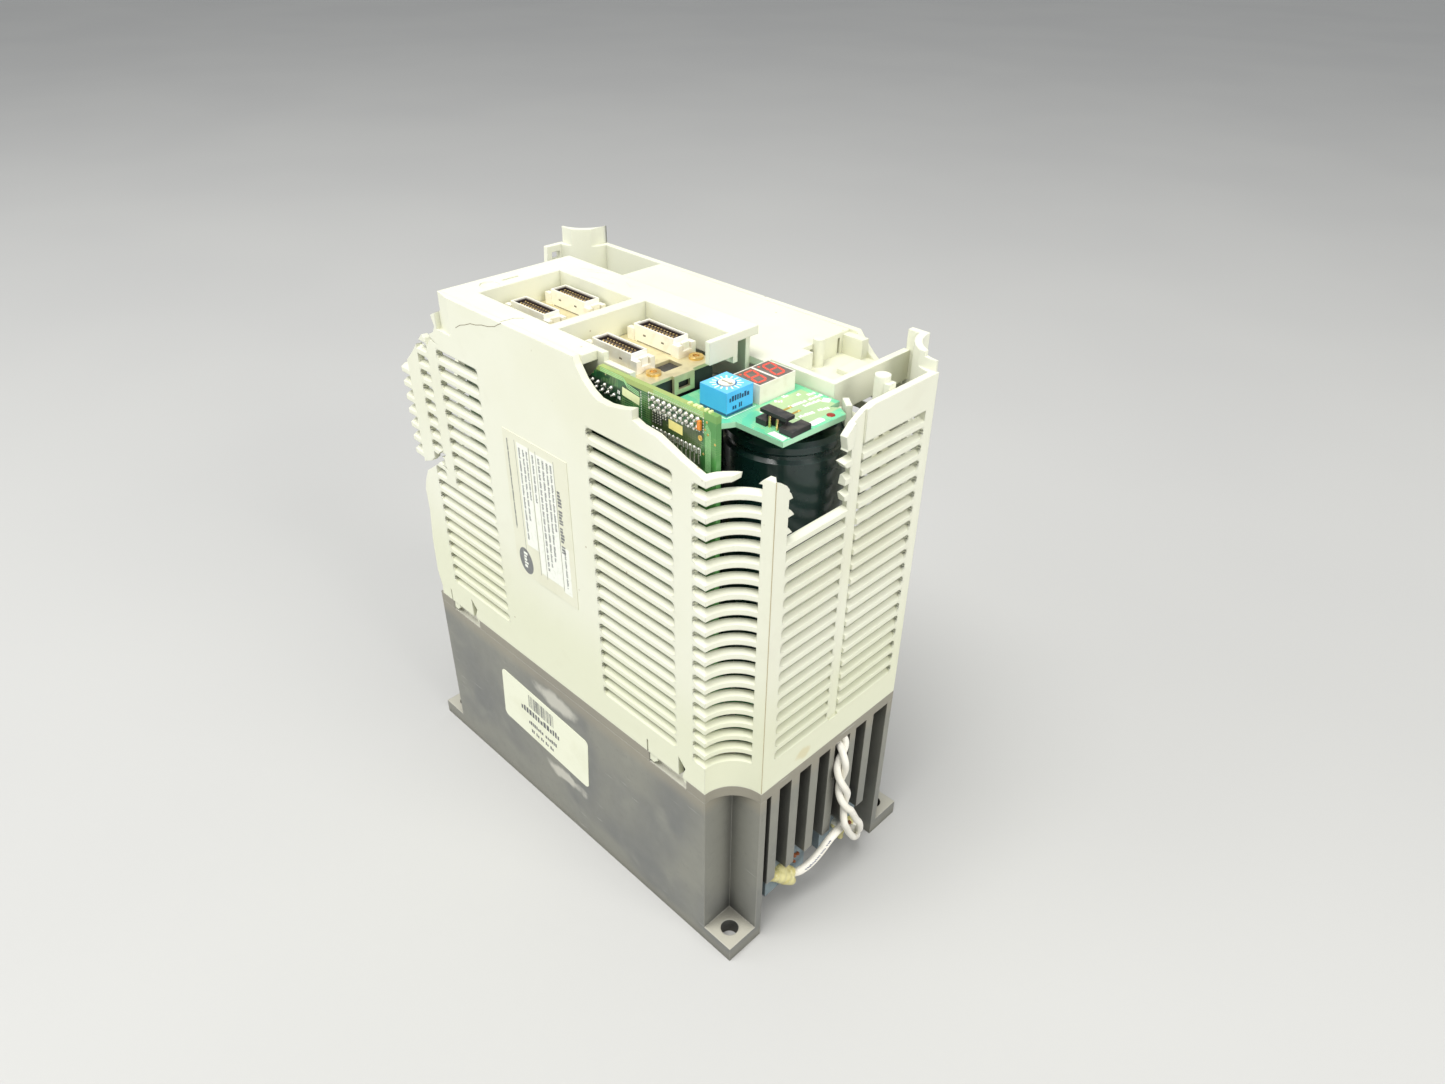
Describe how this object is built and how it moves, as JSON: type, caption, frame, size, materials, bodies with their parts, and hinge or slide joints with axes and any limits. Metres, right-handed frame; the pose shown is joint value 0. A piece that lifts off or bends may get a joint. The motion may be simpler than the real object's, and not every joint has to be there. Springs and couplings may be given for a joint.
{
  "type": "servo drive",
  "caption": "Panel-mounted servo drive: finned metal base, broken louvred casing, open front with ribbon-connector sockets, boards, rotary switch and digit display.",
  "frame": {"origin": "centre of the four mounting holes, on the mounting face", "axes": "+Z out of the panel towards the front, +X along the long side towards the display end, -Y towards the side with the nameplate"},
  "size_m": [0.1751, 0.0902, 0.195],
  "materials": {
    "die_cast": "cast, mottled",
    "casing": "fine texture",
    "bracket_metal": "yellow zinc plated",
    "brass_parts": "plain",
    "black_plastic": "moulded",
    "connector_metal": "plated, dull",
    "insert_plastic": "moulded",
    "gold_contacts": "gold plated",
    "board_green": "solder resist",
    "board_teal": "solder resist",
    "screw_steel": "plated",
    "sleeve": "shrink sleeve",
    "relay_white": "moulded",
    "winding": "varnished",
    "switch_blue": "moulded",
    "dial_white": "moulded",
    "display_grey": "epoxy",
    "resistor_body": "cement",
    "glue": "cured paste",
    "lead_white": "insulation",
    "label_paper": "printed film"
  },
  "bodies": {
    "drive_unit": {"heatsink": "die_cast", "heatsink_side_a": "die_cast", "heatsink_side_b": "die_cast", "side_cover": "casing", "main_case": "casing", "connector_bezel": "casing", "front_panel": "casing", "bracket_plate_a": "bracket_metal", "bracket_plate_b": "bracket_metal", "bracket_screws": "brass_parts", "connector_carrier_a": "black_plastic", "connector_carrier_b": "black_plastic", "connector_shell_1": "connector_metal", "connector_shell_2": "connector_metal", "connector_shell_3": "connector_metal", "connector_shell_4": "connector_metal", "connector_insert_1": "insert_plastic", "connector_insert_2": "insert_plastic", "connector_insert_3": "insert_plastic", "connector_insert_4": "insert_plastic", "connector_contacts_1": "gold_contacts", "connector_contacts_2": "gold_contacts", "connector_contacts_3": "gold_contacts", "connector_contacts_4": "gold_contacts", "control_board": "board_green", "display_board": "board_teal", "board_header": "black_plastic", "power_board": "board_green", "board_standoffs": "brass_parts", "board_screws": "screw_steel", "power_module": "black_plastic", "module_screws": "screw_steel", "rectifier": "black_plastic", "capacitor_a": "sleeve", "capacitor_b": "sleeve", "relay": "relay_white", "transformer": "winding", "rotary_switch_body": "switch_blue", "digit_display_body": "dial_white", "digit_display_face": "display_grey", "battery_header": "black_plastic", "header_pins": "gold_contacts", "terminal_block": "black_plastic", "terminal_screws": "screw_steel", "fan_frame": "black_plastic", "fan_bearing": "brass_parts", "brake_resistor_a": "resistor_body", "brake_resistor_b": "resistor_body", "resistor_glue": "glue", "resistor_lead_a": "lead_white", "resistor_lead_b": "lead_white", "sleeved_lead": "lead_white", "nameplate_label": "label_paper", "asset_label": "label_paper"},
    "fan_wheel": {"fan_rotor": "black_plastic"},
    "switch_dial": {"rotary_switch_dial": "dial_white"}
  },
  "joints": [
    {"name": "fan_spin", "type": "hinge", "parent": "drive_unit", "child": "fan_wheel", "pos_m": [-0.0715, 0, 0.0315], "axis": [1, 0, 0], "continuous": true},
    {"name": "switch_turn", "type": "hinge", "parent": "drive_unit", "child": "switch_dial", "pos_m": [0.0504, -0.0161, 0.187], "axis": [0, 0, 1], "continuous": true}
  ]
}
